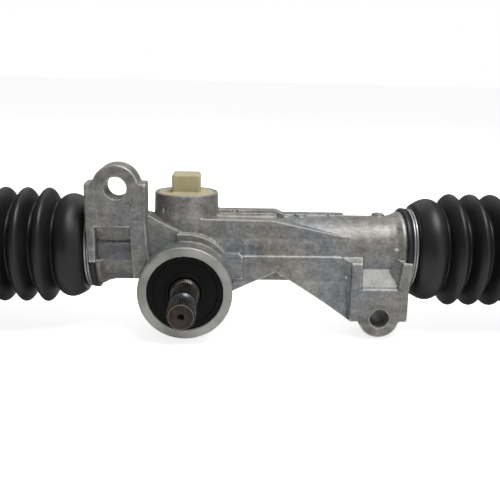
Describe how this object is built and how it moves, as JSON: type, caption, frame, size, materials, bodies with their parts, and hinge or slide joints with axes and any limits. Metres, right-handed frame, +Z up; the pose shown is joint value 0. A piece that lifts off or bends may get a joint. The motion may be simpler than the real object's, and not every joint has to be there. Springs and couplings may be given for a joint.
{
  "type": "steering rack",
  "caption": "Manual rack-and-pinion steering gear: cast housing with two lugs, serrated input shaft, rubber boots and tie rods.",
  "frame": {"origin": "mouth of the upper lug's hole, on the lugs' front face", "axes": "+X to the right along the rack, +Y away from the input shaft, +Z up"},
  "size_m": [0.6894, 0.0873, 0.0808],
  "materials": {
    "cast_aluminium": "as die cast, slightly mottled",
    "serrated_steel": "turned and rolled steel, lightly oiled",
    "ground_steel": "ground",
    "bearing_steel": "polished",
    "spring_steel": "phosphated",
    "seal_rubber": "moulded, matt",
    "boot_rubber": "moulded, satin",
    "natural_nylon": "moulded, slightly translucent",
    "acetal": "moulded",
    "bronze_liner": "sintered bush",
    "zinc_wire": "zinc-plated wire",
    "zinc_steel": "zinc plated",
    "forged_steel": "forged and phosphated, dark"
  },
  "bodies": {
    "housing": {"housing": "cast_aluminium", "pinion_bearing_outer_ring": "bearing_steel", "pinion_bearing_balls": "bearing_steel", "pinion_bearing_cage": "acetal", "bearing_circlip": "spring_steel", "pinion_seal": "seal_rubber", "pinion_rear_bush": "bronze_liner", "pinion_rear_cap": "zinc_steel", "guide_spring": "spring_steel", "rack_bush": "acetal", "bush_snap_ring": "spring_steel", "left_boot": "boot_rubber", "right_boot": "boot_rubber", "left_boot_clamp": "zinc_wire", "right_boot_clamp": "zinc_wire"},
    "rack": {"rack_bar": "ground_steel", "left_bump_stop": "seal_rubber", "left_lock_washer": "zinc_steel", "left_ball_socket": "forged_steel", "right_bump_stop": "seal_rubber", "right_lock_washer": "zinc_steel", "right_ball_socket": "forged_steel"},
    "pinion": {"pinion_shaft": "serrated_steel", "pinion_bearing_inner_ring": "bearing_steel"},
    "guide": {"rack_guide": "cast_aluminium", "guide_liner": "bronze_liner", "guide_o_ring": "seal_rubber"},
    "adjuster": {"adjuster_plug": "natural_nylon"},
    "left_joint": {"left_ball_seat": "acetal"},
    "left_boot_end": {"left_boot_clip": "zinc_steel"},
    "left_tie_rod": {"left_tie_rod": "forged_steel", "left_lock_nut": "zinc_steel"},
    "right_joint": {"right_ball_seat": "acetal"},
    "right_boot_end": {"right_boot_clip": "zinc_steel"},
    "right_tie_rod": {"right_tie_rod": "forged_steel", "right_lock_nut": "zinc_steel"}
  },
  "joints": [
    {"name": "rack_slide", "type": "slide", "parent": "housing", "child": "rack", "axis": [1, 0, 0], "range_m": [-0.058, 0.058], "deforming": ["left_boot", "right_boot"]},
    {"name": "pinion_spin", "type": "hinge", "parent": "housing", "child": "pinion", "pos_m": [0.0315, 0.021, -0.0467], "axis": [0, 1, 0], "range_deg": [-480, 480]},
    {"name": "guide_lift", "type": "slide", "parent": "housing", "child": "guide", "axis": [0, 0, 1], "range_m": [0, 0.0002], "stiffness_N_per_m": 60000, "deforming": ["guide_spring"]},
    {"name": "adjuster_turn", "type": "hinge", "parent": "housing", "child": "adjuster", "pos_m": [0.031, 0.021, -0.00405], "axis": [0, 0, 1], "range_deg": [-45, 45]},
    {"name": "left_rod_lift", "type": "hinge", "parent": "rack", "child": "left_joint", "pos_m": [-0.1082, 0.021, -0.0312], "axis": [0, 1, 0], "range_deg": [-18, 18], "deforming": ["left_boot"]},
    {"name": "left_rod_swing", "type": "hinge", "parent": "left_joint", "child": "left_boot_end", "pos_m": [-0.1082, 0.021, -0.0312], "axis": [0, 0, 1], "range_deg": [-10, 10], "deforming": ["left_boot"]},
    {"name": "left_rod_spin", "type": "hinge", "parent": "left_boot_end", "child": "left_tie_rod", "pos_m": [-0.1082, 0.021, -0.0312], "axis": [1, 0, 0], "continuous": true, "deforming": ["left_boot"]},
    {"name": "right_rod_lift", "type": "hinge", "parent": "rack", "child": "right_joint", "pos_m": [0.2332, 0.021, -0.0312], "axis": [0, 1, 0], "range_deg": [-18, 18], "deforming": ["right_boot"]},
    {"name": "right_rod_swing", "type": "hinge", "parent": "right_joint", "child": "right_boot_end", "pos_m": [0.2332, 0.021, -0.0312], "axis": [0, 0, 1], "range_deg": [-10, 10], "deforming": ["right_boot"]},
    {"name": "right_rod_spin", "type": "hinge", "parent": "right_boot_end", "child": "right_tie_rod", "pos_m": [0.2332, 0.021, -0.0312], "axis": [1, 0, 0], "continuous": true, "deforming": ["right_boot"]}
  ],
  "couplings": [
    {"joint": "pinion_spin", "follows": "rack_slide", "rad_per_m": 142.86}
  ]
}
